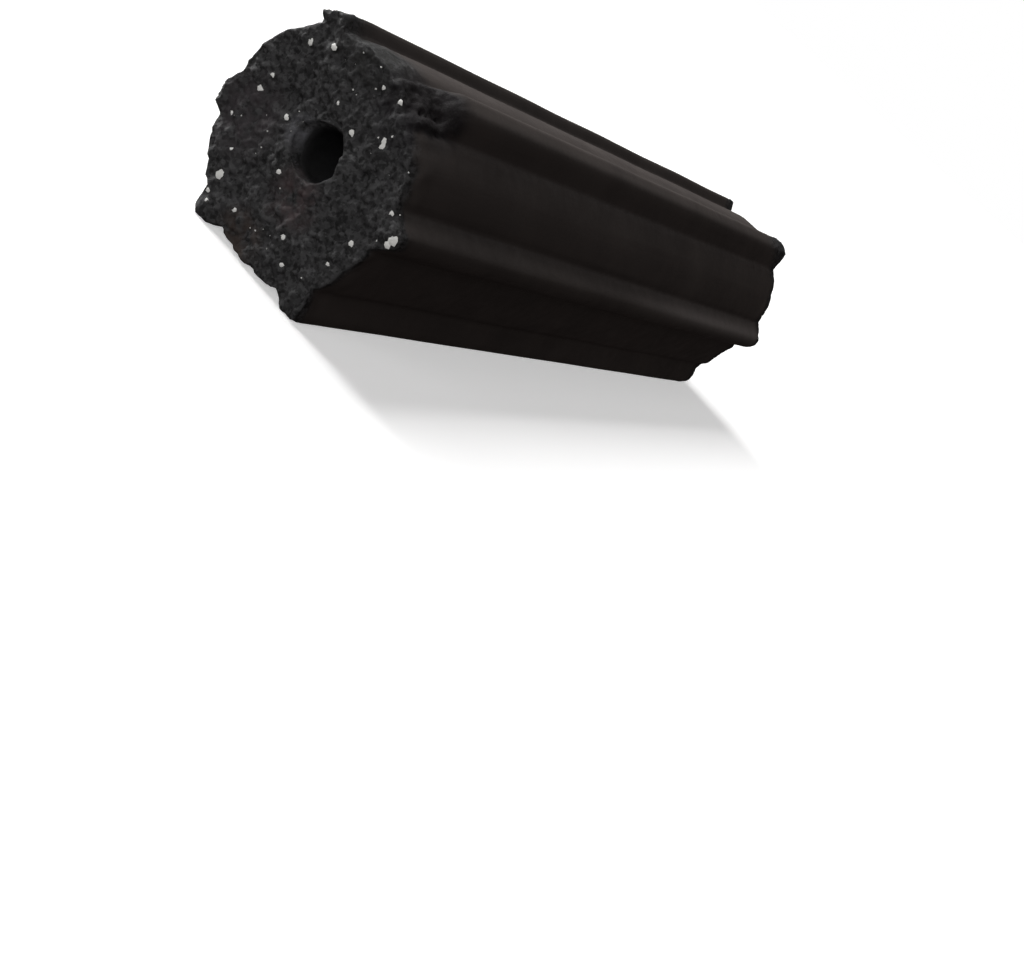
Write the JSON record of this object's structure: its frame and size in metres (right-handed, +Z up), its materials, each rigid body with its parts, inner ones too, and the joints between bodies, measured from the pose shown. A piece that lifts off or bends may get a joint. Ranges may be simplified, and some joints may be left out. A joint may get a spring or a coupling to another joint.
{
  "type": "sawdust charcoal briquette",
  "caption": "Pressed and baked charcoal bar with six small ribs along its sides, a round through bore for draught, and rough broken ends",
  "frame": {"origin": "On the surface that the bar lies on, under the middle of its bounding box", "axes": "+X along the bar, from the end with the broken rib corner to the slanted end; +Z up; +Y towards the back rib"},
  "size_m": [0.1942, 0.046, 0.0433],
  "materials": {
    "charcoal": "matte"
  },
  "bodies": {
    "root": {"briquette": "charcoal"}
  },
  "joints": []
}
